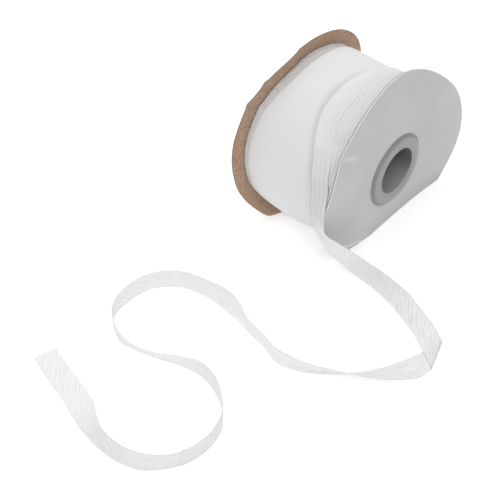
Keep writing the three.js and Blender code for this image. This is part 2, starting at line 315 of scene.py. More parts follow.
def uneven(shape, cells, seed, goes_round=False):
    """Random heights from -1 to 1: a coarse lattice of random numbers, blended by smooth steps."""
    lattice = np.random.default_rng(seed).uniform(-1, 1, (cells[0] + 1, cells[1] + 1))
    if goes_round:
        lattice[-1] = lattice[0]
    for axis in (0, 1):
        place = np.linspace(0, cells[axis], shape[axis], endpoint=not (goes_round and axis == 0))
        start = np.minimum(place.astype(int), cells[axis] - 1)
        share = smooth_step(place - start, 0, 1)
        share = share[:, None] if axis == 0 else share
        first, second = np.take(lattice, start, axis), np.take(lattice, start + 1, axis)
        lattice = first + (second - first) * share
    return lattice


def bell(values, middle, reach):
    """A soft hump that is 1 at the middle and has faded at about twice the reach."""
    return np.exp(-(((values - middle) / reach) ** 2))


# %% [markdown]
# ## The spool's sizes
# Angles go round the spool's axis from the back of the table up over the top, so 180 degrees faces the
# front. A disc is round down to the table, where its edge is cut straight.

# %% Sizes shared by the pieces
SPOOL_WIDTH = 64.3
CARD_THICK = 1.0
FLANGE_RADIUS = 57.15
COLLAR_RADIUS = 22.0
TUBE_RADIUS = 16.5
BORE_RADIUS = 13.75
CARD_GAP = 0.4
BEND_POWER = 1.5

FRONT_BEND = [
    (0, 5.4), (30, 3.4), (45, -0.6), (60, -4.8), (75, -7.0), (90, -6.6), (105, -5.4), (120, -4.5),
    (132, -4.1), (139, -4.2), (143, -4.3), (148, -3.1), (155, -2.2), (163, -2.0), (170, -2.8), (177, -4.1),
    (185, -4.4), (195, -4.5), (210, -2.4), (219, 0.6), (270, 1.0), (321, 2.3), (345, 4.7),
]
BACK_BEND = [
    (0, -4.4), (30, -0.2), (45, 1.4), (75, 2.4), (90, 2.0), (98, 1.9), (104, 2.2), (110, 1.8), (116, 0.7),
    (123, -0.9), (126, -1.8), (130, -2.2), (135, -3.3), (140, -4.8), (143, -4.8), (150, -4.9), (157, -5.2),
    (165, -5.5), (172, -5.3), (180, -4.7), (189, -3.7), (197, -2.9), (204, -1.1), (210, 1.3), (216, 5.0),
    (221, 13.0), (226, 19.0), (234, 18.0), (250, 9.0), (270, 2.0), (321, -3.0),
]
BENDS = {1: FRONT_BEND, -1: BACK_BEND}


def card_bend(side, radius, turn):
    """How far the card is bent along the axis: its rim's bend times a power of the share of the way there."""
    share = np.maximum(0, radius - COLLAR_RADIUS) / (FLANGE_RADIUS - COLLAR_RADIUS)
    return table_curve(BENDS[side], np.degrees(turn) % 360, 360) * share**BEND_POWER


def flattened_reach(radius, blend, turn):
    """How far a round reaches at an angle when it is cut flat at the table. The two corners are arcs."""
    side, down = np.abs(np.cos(turn)), -np.sin(turn)
    below = AXIS_HEIGHT - blend
    across = np.sqrt((radius - blend) ** 2 - below**2)
    along = across * side + below * down
    on_arc = along + np.sqrt(np.maximum(blend**2 - across**2 - below**2 + along**2, 0))
    on_flat = AXIS_HEIGHT / np.maximum(down, 0.1)
    reach = np.where(down * across >= AXIS_HEIGHT * side, on_flat, on_arc)
    return np.where(down * across <= below * side, radius, reach)


def around(x, radius, turn):
    """Points at a distance along the axis, a radius and an angle, stacked into one array."""
    y, z = radius * np.cos(turn), AXIS_HEIGHT + radius * np.sin(turn)
    return np.stack(np.broadcast_arrays(x, y, z), axis=-1)


# %% [markdown]
# ## The tube and its collars
# The tube is a turned shape, so its section is carried once round the axis. On the real one the collar's
# face dips a little towards the bore and its rim is softly rounded, which gives the ring its light and dark
# sides. The collar's foot, where it meets the card, is darkened as painted shade, and the bore is painted
# darker towards its top, as painted shade where less light gets in. Both come from plain places: the
# distance from the axis, and the height.

# %% Finish of the tube
hub_finish = Finish("hub_satin_grey")
spot = hub_finish.place()
cloudy = hub_finish.noise(spot, 60, 3)
grain = hub_finish.noise(spot, 1400, 2)
radius_from_axis = hub_finish.node("ShaderNodeVectorMath", {"operation": "LENGTH"}, [
    hub_finish.node("ShaderNodeVectorMath", {"operation": "MULTIPLY_ADD"}, [
        spot, (0.0, 1.0, 1.0), (0.0, 0.0, -AXIS_HEIGHT * MM)])], "Value")
inside = radius_from_axis.between(BORE_RADIUS * MM + 0.0001, BORE_RADIUS * MM + 0.0004, 1.0, 0.0)
ring_grey = hub_finish.blend(cloudy, grey(0.265), grey(0.305))
# Painted shade: the collar's foot is darkened where it meets the card.
collar_foot_shade = radius_from_axis.between(19.6 * MM, 20.8 * MM) * 0.35
ring_grey = hub_finish.blend(collar_foot_shade, ring_grey, grey(0.18))
# Painted shade: the bore's colour is darker towards its top, where less light gets in.
going_up = hub_finish.axis(spot, 2).between(22.5 * MM, AXIS_HEIGHT * MM)
bore_shaded_grey = hub_finish.blend(going_up, grey(0.35), grey(0.14))
hub_colour = hub_finish.blend(inside, ring_grey, bore_shaded_grey)
hub_material = hub_finish.surface(
    Base_Color=hub_colour,
    Roughness=cloudy * 0.15 + 0.42,
    Normal=hub_finish.relief(grain * 0.6 + cloudy * 0.4, 0.05),
)

# %% Make the tube
COLLAR_PROFILE = [
    (BORE_RADIUS, 0.9), (13.8, 1.3), (13.95, 1.52), (14.2, 1.6), (14.45, 1.5), (14.9, 1.66), (15.35, 1.8),
    (15.5, 1.7), (15.65, 1.84), (16.2, 1.97), (16.8, 2.05), (17.3, 2.08), (18.0, 2.05), (18.6, 1.98),
    (19.3, 1.87), (19.8, 1.76), (20.2, 1.6), (20.5, 1.38), (20.75, 1.05), (20.92, 0.65), (21.1, 0.32),
    (21.5, 0.12), (22.1, 0.04), (TUBE_RADIUS, 0.03),
]
collar = np.array([(SPOOL_WIDTH / 2 + stands, radius) for radius, stands in COLLAR_PROFILE])
tube_profile = np.vstack([collar[::-1], collar * (-1, 1)])
hub_turns = np.radians(np.arange(0, 360, 3))[:, None]
hub_points = around(tube_profile[:, 0][None, :], tube_profile[:, 1][None, :], hub_turns)
fitted_piece("hub", hub_points, (True, True), hub_material, "core")

# %% [markdown]
# ## The card discs
# Each disc is die-cut card, one millimetre thick: kraft on the side of the tape, pale grey paper outside,
# and a cut edge that is pale paper on its outer half and painted dark on its inner half, as painted shade
# of the gap beside the roll, with kraft at its inner corner. Real card never stays flat, so its rim is bent
# by a table of angles. Three places on the front disc are shaped one by one: a small buckle at the kink of
# the rim, the corner that is folded under along a crease, and the crushed flat edge that it stands on. The
# crease is also a thin pale line, partly worn liner and partly a painted highlight, which the material draws
# between two points of the disc, because it is finer than the mesh.

# %% Finish of the card
CREASE_START = np.array([-42.9, 7.8])
CREASE_END = np.array([-29.4, 3.6])
crease_heading = (CREASE_END - CREASE_START) / np.linalg.norm(CREASE_END - CREASE_START)
crease_normal = np.array([crease_heading[1], -crease_heading[0]])

card_finish = Finish("grey_lined_kraft_card")
spot = card_finish.place()
depth = card_finish.attribute("depth")
painted_highlight = card_finish.attribute("painted_highlight")
smudge = card_finish.noise(spot, 45, 3, 0.55)
mottle = card_finish.noise(spot, 420, 3, 0.6)
fibre = card_finish.noise(card_finish.turned(spot, 0, (1.0, 0.25, 0.6)), 1500, 3, 0.6, 0.4)
speck = card_finish.noise(spot, 1900, 2).between(0.56, 0.7)
painted_shade = card_finish.attribute("painted_shade")
paper = card_finish.blend(smudge.between(0.3, 0.7), grey(0.48), grey(0.515))
paper = card_finish.blend(mottle * 0.10, paper, grey(0.42))
# Painted shade darkens the paper and a painted highlight whitens it, in the places that the disc's marks
# give.
paper = card_finish.blend(painted_shade, paper, grey(0.30))
paper = card_finish.blend(painted_highlight * 0.75, paper, grey(0.86))
# The crease is a thin pale line: partly worn liner, partly a painted highlight.
crease_way = card_finish.node("ShaderNodeVectorMath", {"operation": "DOT_PRODUCT"}, [
    spot, (0.0, float(crease_normal[0]), float(crease_normal[1]))], "Value")
from_crease = crease_way - float(crease_normal @ CREASE_START) * MM
crease_wear_and_highlight = from_crease.maths("ABSOLUTE", from_crease).between(0.00015, 0.0005, 1.0, 0.0)
crease_wear_and_highlight = crease_wear_and_highlight * card_finish.axis(spot, 1).between(-0.0285, -0.0275, 1.0, 0.0)
crease_wear_and_highlight = crease_wear_and_highlight * card_finish.axis(spot, 0).between(0.0, 0.001)
paper = card_finish.blend(crease_wear_and_highlight, paper, grey(0.86))
kraft = card_finish.blend(fibre.between(0.25, 0.75), (0.30, 0.178, 0.108, 1.0), (0.50, 0.335, 0.232, 1.0))
kraft = card_finish.blend(smudge.between(0.35, 0.65) * 0.25, kraft, (0.45, 0.36, 0.29, 1.0))
kraft = card_finish.blend(speck * 0.35, kraft, (0.24, 0.15, 0.10, 1.0))
# The cut edge is pale paper on its outer half; its inner half is painted dark, as painted shade of the gap
# beside the roll.
cut_edge_and_gap_shade = card_finish.blend(depth.between(0.36, 0.64), grey(0.80), grey(0.16))
paper = card_finish.blend(depth.between(0.01, 0.08), paper, cut_edge_and_gap_shade)
card_colour = card_finish.blend(depth.between(0.93, 0.985), paper, kraft)
card_material = card_finish.surface(
    Base_Color=card_colour,
    Roughness=0.6 + mottle * 0.15 + depth * 0.12,
    Normal=card_finish.relief(fibre * (depth * 0.7 + 0.3) + mottle * 0.3, 0.09),
)

# %% Make the card discs
DISC_TURNS = np.radians(np.arange(0, 360, 0.5))[:, None]
FACE_RINGS = 44
CUT_EDGE = [(0.3, 0.0), (0.08, 0.06), (0.0, 0.25), (0.0, 0.5), (0.0, 0.75), (0.08, 0.94), (0.3, 1.0)]
CORNER_BLEND = 3.0


def card_disc(name, side, node, pushed):
    """A disc whose section goes out along its outer face, round its cut edge and back along its inner face.

    A point's place along the axis is half the spool's width, less its depth in the card, plus the rim's bend,
    plus what the function pushed gives for its place on the disc."""
    shares = np.linspace(0, 1, FACE_RINGS) ** 0.85
    inset, edge_depth = np.array(CUT_EDGE).T
    share = np.concatenate([shares[:-1], np.ones(len(inset)), shares[-2::-1]])
    back_off = np.concatenate([np.zeros(FACE_RINGS - 1), inset, np.zeros(FACE_RINGS - 1)])
    depth = np.concatenate([np.zeros(FACE_RINGS - 1), edge_depth, np.ones(FACE_RINGS - 1)])
    bore = TUBE_RADIUS + CARD_GAP
    rim = flattened_reach(FLANGE_RADIUS, CORNER_BLEND, DISC_TURNS)
    radius = bore + share[None, :] * (rim - bore) - back_off[None, :]
    flat = around(0.0 * radius, radius, DISC_TURNS)
    push, painted_highlight, painted_shade = pushed(flat[..., 1], flat[..., 2], radius, np.degrees(DISC_TURNS) + 0 * radius)
    x = side * (SPOOL_WIDTH / 2 - depth * CARD_THICK) + card_bend(side, radius, DISC_TURNS) + push
    masks = {"depth": np.broadcast_to(depth, radius.shape), "painted_highlight": painted_highlight, "painted_shade": painted_shade}
    points = around(x, radius, DISC_TURNS)
    points = points if side > 0 else points[::-1]
    masks = masks if side > 0 else {mask: values[::-1] for mask, values in masks.items()}
    return fitted_piece(name, points, (True, True), card_material, node, masks=masks)


CREASE_FOLD = np.radians(26)
BUCKLE_TURN = 141.5
BUCKLE_RADIUS = 50.0
BUCKLE_SLANT = 0.25


def front_marks(y, z, radius, turn):
    """The corner beyond the crease is turned under, and a buckle runs in from the kink of the rim.

    It also gives two masks. The first turns the paper white, as a painted highlight on the buckle's lit ridge
    and along the crushed flat edge. The second darkens it, as painted shade: above the collar, on the corner
    beyond the crease, on the buckle's shaded side and low down, towards the table."""
    beyond = crease_normal[0] * (y - CREASE_START[0]) + crease_normal[1] * (z - CREASE_START[1])
    fold = np.sqrt(np.maximum(beyond, 0) ** 2 + 0.04) - 0.2
    push = -np.tan(CREASE_FOLD) * np.where(beyond > 0, fold, 0)
    from_buckle = turn - BUCKLE_TURN - BUCKLE_SLANT * (radius - BUCKLE_RADIUS)
    near_buckle = bell(radius, BUCKLE_RADIUS, 5.0)
    push = push + 0.5 * near_buckle * bell(from_buckle, 0.5, 2.4)
    push = push - 0.4 * near_buckle * bell(from_buckle, 6.5, 3.5)
    # A painted highlight on the buckle's ridge and along the flat edge; painted shade in the lines below.
    painted_highlight = 0.30 * near_buckle * bell(from_buckle, -0.2, 1.7)
    painted_highlight = np.maximum(painted_highlight, smooth_step(z, 1.6, 0.1) * smooth_step(y, -34, -26) * 0.3)
    painted_shade = 0.10 * bell(radius, 29.5, 6.0) * bell(turn, 18.0, 30.0) + 0.3 * smooth_step(beyond, 0.2, 0.9)
    painted_shade = painted_shade + 0.10 * near_buckle * bell(from_buckle, 4.0, 2.2)
    painted_shade = painted_shade + 0.28 * smooth_step(z, 13.0, 0.0) * smooth_step(y, -36, -10)
    return push, painted_highlight, painted_shade


def back_marks(y, z, radius, turn):
    """Three short kinks in the rim of the back disc. Its paper is plain."""
    push = -0.3 * bell(turn, 98.5, 1.6) - 0.35 * bell(turn, 125.5, 1.6) - 0.35 * bell(turn, 140.5, 1.6)
    return push * smooth_step(radius, 46, FLANGE_RADIUS), 0.0 * y, 0.0 * y


card_disc("front_card", 1, "flange_front", front_marks)
card_disc("back_card", -1, "flange_back", back_marks)

# %% [markdown]
# ## The knitted tape's finish
# The tape is a warp knit: slanting threads run across it, and it is so thin that the table shows through
# the gaps. The pattern follows the cloth, so it reads a UV map that is laid out in millimetres, across and
# along. One side shows the slanting threads, and the other shows wavy lines along the tape. The mesh also
# holds a few numbers at each point: where the tape has left the roll, where it looks grainy or faint, and
# where shade is painted on it. The tape still on the roll is painted a darker grey than the loose tape, and
# the faint far part a little greyer, though it is all one cloth: both drops are painted shade.

# %% Finish of the loose tape
THREAD_SLANT = 31.0
THREAD_PITCH = 2.2
tape_finish = Finish("sheer_white_knit")
cloth = tape_finish.place("cloth")
right_side = tape_finish.attribute("right_side")
slanted = tape_finish.turned(cloth, THREAD_SLANT)
bent_threads = tape_finish.noise(tape_finish.turned(cloth, THREAD_SLANT, (0.35, 0.08, 1.0)), 1.0, 1.0)
thread_phase = tape_finish.axis(slanted, 0) * (2 * np.pi / THREAD_PITCH) + bent_threads * 9.0
even_threads = thread_phase.maths("SINE", thread_phase) * 0.5 + 0.5
drawn_threads = tape_finish.turned(cloth, THREAD_SLANT, (1.3, 0.12, 1.0))
loose_threads = tape_finish.noise(drawn_threads, 1.0, 2.0, 0.45, 0.2)
slant_threads = even_threads * 0.35 + loose_threads.between(0.3, 0.68) * 0.65
long_lines = tape_finish.noise(tape_finish.turned(cloth, 4, (1.1, 0.08, 1.0)), 1.0, 3.0, 0.5, 0.4)
long_lines = long_lines.between(0.25, 0.75)
tiny_loops = tape_finish.noise(tape_finish.turned(cloth, 0, (1.7, 1.3, 1.0)), 1.0, 2.0, 0.6).between(0.3, 0.7)
grainy = tape_finish.attribute("grainy")
threads = slant_threads * right_side + (long_lines * 0.6 + 0.25) * (1 - right_side)
thread_mask = threads * (0.85 - grainy * 0.55) + tiny_loops * (grainy * 0.55 + 0.15)
run_out_share = tape_finish.attribute("run_out")
faint = tape_finish.attribute("faint")
gaps = (1 - thread_mask) * run_out_share * (1 - faint * 0.45)
streaks = tape_finish.noise(tape_finish.turned(cloth, 0, (0.6, 0.03, 1.0)), 1.0, 2.0, 0.5)
# Painted shade: the tape still on the roll is a darker grey than the loose tape, though both are one cloth.
wound_colour = tape_finish.blend(streaks.between(0.3, 0.7), grey(0.70), grey(0.76))
# Painted shade: the faint far part of the loose tape is a little greyer than the rest.
thread_colour = tape_finish.blend(faint, grey(0.92), grey(0.88))
tape_colour = tape_finish.blend(gaps, thread_colour, grey(0.82))
tape_colour = tape_finish.blend(run_out_share, wound_colour, tape_colour)
tape_colour = tape_finish.blend(tape_finish.attribute("shade"), tape_colour, grey(0.30))
tape_material = tape_finish.surface(
    Base_Color=tape_colour,
    Roughness=0.85,
    Alpha=1 - gaps * 0.20,
    Normal=tape_finish.relief(1 - gaps, 0.05),
)

# %% Finish of the wound tape
roll_finish = Finish("wound_white_knit")
cloth = roll_finish.place("cloth")
strip = roll_finish.attribute("strip")
ridged = roll_finish.attribute("ridged")
shade = roll_finish.attribute("shade")
turns_lines = roll_finish.noise(roll_finish.turned(cloth, 0, (0.9, 0.035, 1.0)), 1.0, 3.0, 0.6)
soft_patches = roll_finish.noise(roll_finish.turned(cloth, 0, (0.12, 0.06, 1.0)), 1.0, 2.0)
knit = roll_finish.noise(roll_finish.turned(cloth, THREAD_SLANT, (1.5, 0.4, 1.0)), 1.0, 2.0, 0.5, 0.5)
loops_across = roll_finish.noise(roll_finish.turned(cloth, -20, (1.1, 0.6, 1.0)), 1.0, 2.0, 0.6, 0.8)
knit_strength = (strip * 0.8).most(ridged * 0.4) + 0.08
knit_shade = (knit * 0.5 + loops_across * 0.5).between(0.35, 0.65)
uneven_white = turns_lines.between(0.25, 0.75) * 0.5 + soft_patches * 0.5
# Painted shade: the roll's greys are darker than the loose tape's, though both are one cloth; the mottling
# between them is the cloth's own.
roll_colour = roll_finish.blend(uneven_white, grey(0.71), grey(0.755))
# The strip of lower turns is painted darker, as painted shade of its recess beside the back disc.
roll_colour = roll_finish.blend(strip * 0.6, roll_colour, (0.66, 0.64, 0.62, 1.0))
roll_colour = roll_finish.blend((1 - knit_shade) * knit_strength * 0.28, roll_colour, grey(0.45))
roll_colour = roll_finish.blend(ridged * 0.4, roll_colour, (0.71, 0.73, 0.74, 1.0))
roll_colour = roll_finish.blend(shade, roll_colour, grey(0.10))
roll_material = roll_finish.surface(
    Base_Color=roll_colour,
    Roughness=0.85,
    Normal=roll_finish.relief(knit_shade * knit_strength + turns_lines * 0.3, 0.2),
)

# %% [markdown]
# ## The wound roll
# Hundreds of turns lie on each other, so the roll is one surface carried round the axis. Across it, from
# the back disc to the front: a strip of lower turns with a fuzzy knitted edge, the smooth middle, the edge
# of the last turn, and fine ridges where the turns bunch up against the front disc. Each is placed by a
# table of angles. At the front the lower turns rise and prop the end that is drawn off: the prop table says
# how far out they stand under its two edges, and a small clearance keeps the two apart.

# %% Make the wound roll
ROLL_RADIUS = 49.0
ROLL_TAPER = 0.8
ROLL_BLEND = 10.0
TAPE_WIDTH = 12.7
STRIP_STEP = 1.2
LAST_TURN_EDGE = [
    (-40, 7.0), (0, 6.5), (40, 5.5), (65, 4.3), (90, 2.2), (110, 0.4), (128, 1.6), (147, 6.8), (150, 7.7),
    (230, 10.0), (270, 9.0), (320, 7.0),
]
LAST_TURN_HEIGHT = [
    (-40, 0.0), (0, 0.8), (40, 0.8), (65, 0.8), (90, 0.8), (110, 0.8), (134, 0.8), (144, 0.5), (150, 0.0),
    (230, 0.0), (320, 0.0),
]
STRIP_WIDTH = [(0, 4.0), (60, 5.0), (110, 4.6), (150, 3.0), (190, 2.2), (215, 2.4), (240, 3.0)]
STRIP_DROP = [
    (0, 1.0), (60, 0.7), (105, 0.5), (130, 0.3), (150, 0.3), (190, 0.5), (215, 0.8), (240, 1.0),
]
STEP_SHADE = [(0, 0.10), (60, 0.14), (100, 0.15), (118, 0.09), (135, 0.02), (160, 0.0), (240, 0.0)]
EDGE_SHADE = [
    (-40, 0.0), (70, 0.0), (90, 0.14), (110, 0.22), (150, 0.17), (190, 0.12), (225, 0.05), (320, 0.0),
]
SHADED_EDGE = [
    (-40, 7.0), (40, 5.5), (65, 4.3), (90, 2.2), (110, 0.4), (128, 1.6), (147, 6.8), (160, 10.6), (170, 13.8),
    (178, 16.2), (190, 17.5), (320, 7.0),
]
SLACK = [(180, 0.0), (215, 1.7), (240, 0.0)]
PROP_TABLE = [
    (136, 4.2, 16.4, 49.3, 49.3), (145, 6.4, 19.0, 49.6, 50.3), (149, 7.8, 20.4, 49.8, 50.9),
    (160, 10.7, 23.4, 50.5, 53.1), (164, 11.9, 25.8, 51.2, 53.9), (169, 13.8, 27.1, 52.2, 55.8),
    (177, 16.8, 28.0, 54.4, 57.6),
    (184, 19.0, 29.0, 54.0, 57.0), (192, 20.0, 30.0, 52.0, 55.5), (202, 20.0, 30.0, 50.0, 52.5),
    (214, 20.0, 30.0, 49.0, 49.5), (224, 20.0, 30.0, 48.5, 48.5),
]
PROP_CLEARANCE = 0.55
FRONT_SHADE = [
    (0, 0.0), (140, 0.0), (149, 0.05), (160, 0.12), (170, 0.16), (182, 0.10), (195, 0.03), (210, 0.0),
]
ROLL_COLUMNS = [16, 4, 42, 46, 26]
ROLL_ROWS = 600
SIDE_SHARES = np.array([0.0, 0.35, 0.7])

roll_turn = np.linspace(0, 2 * np.pi, ROLL_ROWS, endpoint=False)[:, None]
roll_degrees = np.degrees(roll_turn)
wound_degrees = np.where(roll_degrees > 300, roll_degrees - 360, roll_degrees)


def roll_side(side, radius):
    """Where the roll's side lies along the axis: just inside the bent card, at any radius."""
    return side * (SPOOL_WIDTH / 2 - CARD_THICK - CARD_GAP) + card_bend(side, radius, roll_turn)


plain_reach = flattened_reach(ROLL_RADIUS, ROLL_BLEND, roll_turn)
back_x, front_x = roll_side(-1, plain_reach), roll_side(1, plain_reach)
one_column = (ROLL_ROWS, 1)
strip_wander = 0.12 * uneven(one_column, (130, 1), 3, True)
strip_wander = strip_wander + 0.3 * uneven(one_column, (30, 1), 4, True)
strip_x = back_x + table_curve(STRIP_WIDTH, roll_degrees, 360) + strip_wander
edge_x = table_curve(LAST_TURN_EDGE, wound_degrees) + 0.25 * uneven(one_column, (60, 1), 5, True)
knots = [back_x, strip_x, strip_x + STRIP_STEP, edge_x, edge_x + TAPE_WIDTH, front_x]
stretches = [
    knots[k] + (knots[k + 1] - knots[k]) * np.linspace(0, 1, count, endpoint=False)
    for k, count in enumerate(ROLL_COLUMNS)
]
across_x = np.concatenate([*stretches, front_x], axis=1)
shape = across_x.shape

# %% [markdown]
# The radius of the roll is a sum of plain terms: the taper, the low strip with its fuzz, the slack of the
# turns near the table, the height of the last turn, the turns that prop the taut end, the hollow beside the
# last turn, the furrows against the front disc, and a faint wave that no two turns share. The result is cut
# flat at the table. Painted shade darkens the furrows, the step at the strip, the last turn's edge and the
# roll beside the taut end, where shadow falls.

# %% Shape the roll's surface
FURROWS = [(7.6, 0.6, 0.16), (9.8, 0.6, 0.26), (12.2, 0.55, 0.36), (14.2, 0.55, 0.42), (16.3, 0.5, 0.44),
           (18.2, 0.5, 0.48), (20.1, 0.45, 0.44), (21.9, 0.5, 0.48), (23.7, 0.45, 0.44), (25.4, 0.4, 0.36)]
in_strip = 1 - smooth_step(across_x, strip_x, strip_x + STRIP_STEP)
middle_share = np.clip((across_x - strip_x) / (edge_x - strip_x), 0, 1)
from_edge = across_x - edge_x
last_height = table_curve(LAST_TURN_HEIGHT, wound_degrees)
prop_turn, *prop_columns = np.array(PROP_TABLE, float).T
prop_mid_x, prop_rim_x, prop_mid, prop_rim = [
    table_curve(np.stack([prop_turn, column], axis=-1), roll_degrees) for column in prop_columns
]
prop_share = (across_x - prop_mid_x) / (prop_rim_x - prop_mid_x)
prop_clearance = PROP_CLEARANCE * (0.15 + 0.85 * smooth_step(roll_degrees, 143, 157))
beyond_tape = smooth_step(prop_share, 1.01, 1.07)
prop_radius = prop_mid + (prop_rim - prop_mid) * np.clip(prop_share, 0, 1.1) - prop_clearance
prop_radius = prop_radius + (prop_clearance + 0.2) * beyond_tape * smooth_step(roll_degrees, 136, 146)
prop_radius = np.minimum(prop_radius, FLANGE_RADIUS - 0.9)
propped = smooth_step(prop_share, -0.02, 0.07) * smooth_step(roll_degrees, 134, 143)
taper = ROLL_TAPER * across_x / (SPOOL_WIDTH / 2)
on_last_turn = smooth_step(from_edge, -0.15, 0.55)
falls_to_front = 1 - 0.5 * smooth_step(from_edge, 6.0, TAPE_WIDTH + 2)
furrow_wander = 0.35 * uneven(shape, (26, 3), 6, True)
furrow_strength = 0.75 + 0.35 * uneven(shape, (34, 14), 7, True)
furrows = sum(deep * bell(from_edge + furrow_wander, place, wide) for place, wide, deep in FURROWS)
strip_knit = 0.16 * uneven(shape, (230, 90), 8, True) + 0.14 * uneven(shape, (120, 60), 9, True)
raised = (
    -table_curve(STRIP_DROP, roll_degrees, 360) * in_strip
    + in_strip * strip_knit
    + table_curve(SLACK, roll_degrees) * np.sin(np.pi * middle_share)
    + last_height * on_last_turn * (1 + 0.45 * bell(from_edge, 4.5, 4.0)) * falls_to_front
    + propped * np.maximum(prop_radius - ROLL_RADIUS + taper, 0)
    - 0.6 * bell(from_edge, -0.9, 1.5) * smooth_step(last_height, 0.0, 0.6)
    - furrows * furrow_strength
    + 0.10 * uneven(shape, (9, 18), 10, True)
    + 0.045 * uneven(shape, (22, 90), 11, True)
)
roll_radius = flattened_reach(ROLL_RADIUS - taper + raised, ROLL_BLEND, roll_turn)
bore_radius = TUBE_RADIUS + CARD_GAP
back_radius = bore_radius + SIDE_SHARES * (roll_radius[:, :1] - bore_radius)
front_radius = bore_radius + SIDE_SHARES[::-1] * (roll_radius[:, -1:] - bore_radius)
section_x = np.concatenate([roll_side(-1, back_radius), across_x, roll_side(1, front_radius)], axis=1)
section_radius = np.concatenate([back_radius, roll_radius, front_radius], axis=1)
roll_points = around(section_x, section_radius, roll_turn)
side_blank = np.zeros((ROLL_ROWS, len(SIDE_SHARES)))
strip_mask = np.concatenate([side_blank + 1, in_strip, side_blank], axis=1)
ridge_mask = np.concatenate([side_blank, smooth_step(from_edge, 7.5, 12.0), side_blank + 1], axis=1)

# Painted shade along the last turn's edge, at the step, beside the taut end and in the furrows.
past_edge = across_x - table_curve(SHADED_EDGE, wound_degrees) + 0.5
edge_reach = np.where(past_edge < 0, 2.3, 0.6)
edge_shade = table_curve(EDGE_SHADE, wound_degrees) * bell(past_edge, 0.0, edge_reach)
step_shade = table_curve(STEP_SHADE, roll_degrees, 360) * bell(across_x, strip_x + 0.3, 0.9)
front_shade = table_curve(FRONT_SHADE, roll_degrees, 360) * smooth_step(prop_share, 0.0, 0.2)
furrow_shade = 0.12 * furrows * furrow_strength
all_shade = edge_shade + step_shade + front_shade + furrow_shade
shade_mask = np.concatenate([side_blank, all_shade, side_blank], axis=1)

uv_turn = np.linspace(0, 2 * np.pi * ROLL_RADIUS, ROLL_ROWS + 1)
uv_x = np.concatenate([section_x, section_x[:, :1]], axis=1)
uv_x = np.concatenate([uv_x, uv_x[:1]], axis=0)
roll_uv = np.stack([uv_x, np.broadcast_to(uv_turn[:, None], uv_x.shape)], axis=-1)
fitted_piece(
    "wound_roll", roll_points, (True, True), roll_material, "wound_tape",
    uv=roll_uv, masks={"strip": strip_mask, "ridged": ridge_mask, "shade": shade_mask},
)

# %% [markdown]
# ## The route of the loose end
# The loose end is one strip with two edges: the rim edge lay beside the front disc, and the mid edge nearer
# the middle of the roll. It leaves the roll, crosses the disc's rim, runs out flat, is folded back under
# itself, and then wanders over the table, now flat and now on edge, to its cut end. Each row gives both
# edges, and a curve joins the rows so that neither edge has a corner.

# %% Lay out the two edges
CLOTH_THICK = 0.26
RESTS_AT = CLOTH_THICK / 2 + 0.03
TAKE_OFF = [
    (15.6, -32.4, 71.4, 2.9, -32.4, 71.4), (17.4, -37.5, 68.0, 4.7, -37.4, 67.9),
    (19.0, -40.9, 65.2, 6.4, -40.8, 64.7),
    (20.4, -43.4, 62.6, 7.8, -43.2, 61.0), (23.3, -49.3, 54.9, 10.7, -47.5, 53.0),
    (27.0, -54.4, 46.8, 13.8, -51.3, 45.5), (29.6, -60.1, 39.7, 16.8, -55.5, 39.1),
    (31.6, -61.4, 32.3, 20.5, -58.5, 32.6), (33.6, -59.2, 27.8, 24.3, -59.0, 27.0),
    (36.4, -56.7, 25.0, 27.9, -58.3, 22.0), (39.0, -53.9, 21.4, 30.7, -57.2, 17.6),
    (41.4, -50.6, 17.3, 33.0, -56.0, 13.9), (43.5, -46.9, 12.8, 35.6, -54.9, 10.7),
    (45.2, -43.2, 8.0, 38.6, -53.7, 7.7), (47.0, -40.0, 3.6, 42.6, -52.2, 4.2),
    (50.0, -38.0, 1.0, 48.0, -50.5, 1.2),
]
RUN_OUT = [
    (61.0, -38.7, 0.0, 58.0, -51.1, 0.0), (76.3, -42.1, 0.0, 72.6, -54.9, 0.0),
    (89.3, -47.7, 0.1, 85.2, -60.0, 0.1), (97.0, -51.2, 0.2, 96.0, -65.5, 0.35),
    (103.2, -55.0, 0.4, 107.0, -72.2, 0.4),
]
FOLD_RIM = (108.5, -58.7)
FOLD_MID = (114.7, -77.3)
FOLD_RADIUS = 0.2
FOLD_STEPS = (-90, -45, 0, 45, 90)
SECOND_LAYER = [
    (106.9, -63.9, 0.0, 114.3, -81.2, 0.0), (105.4, -68.8, 0.0, 114.3, -82.6, 0.0),
    (103.1, -74.8, 0.0, 113.6, -85.2, 0.0), (101.0, -80.4, 0.0, 112.1, -87.7, 0.0),
]
LOOP = [
    (98.4, -85.6, 3), (96.0, -91.5, 17), (91.0, -98.9, 31), (83.0, -108.0, 51), (71.4, -117.9, 69),
    (62.6, -122.7, 79), (51.5, -125.0, 87), (41.0, -121.4, 84), (29.2, -118.9, 85), (17.1, -115.5, 98),
    (5.0, -114.4, 105), (-7.1, -114.0, 94), (-18.4, -116.2, 89), (-27.2, -122.3, 89), (-33.1, -131.2, 88),
    (-34.8, -143.5, 89), (-34.0, -153.5, 86), (-28.5, -161.2, 90), (-18.0, -166.2, 98), (-6.9, -164.7, 116),
    (5.8, -161.5, 116), (18.1, -157.8, 107), (29.0, -156.4, 95), (40.2, -159.4, 88), (50.5, -165.0, 91),
    (58.7, -174.3, 90), (61.9, -187.2, 87), (60.3, -199.3, 87), (54.6, -209.1, 85), (45.5, -217.8, 94),
    (33.5, -221.5, 99), (21.2, -221.7, 106), (10.0, -220.3, 130), (-1.5, -216.8, 158), (-13.0, -212.5, 178),
    (-25.0, -209.1, 180), (-44.2, -203.0, 180),
]


def flat_rows(rows):
    """Rows over the table, with the cloth's resting height added to both edges."""
    return np.array(rows) + (0.0, 0.0, RESTS_AT, 0.0, 0.0, RESTS_AT)


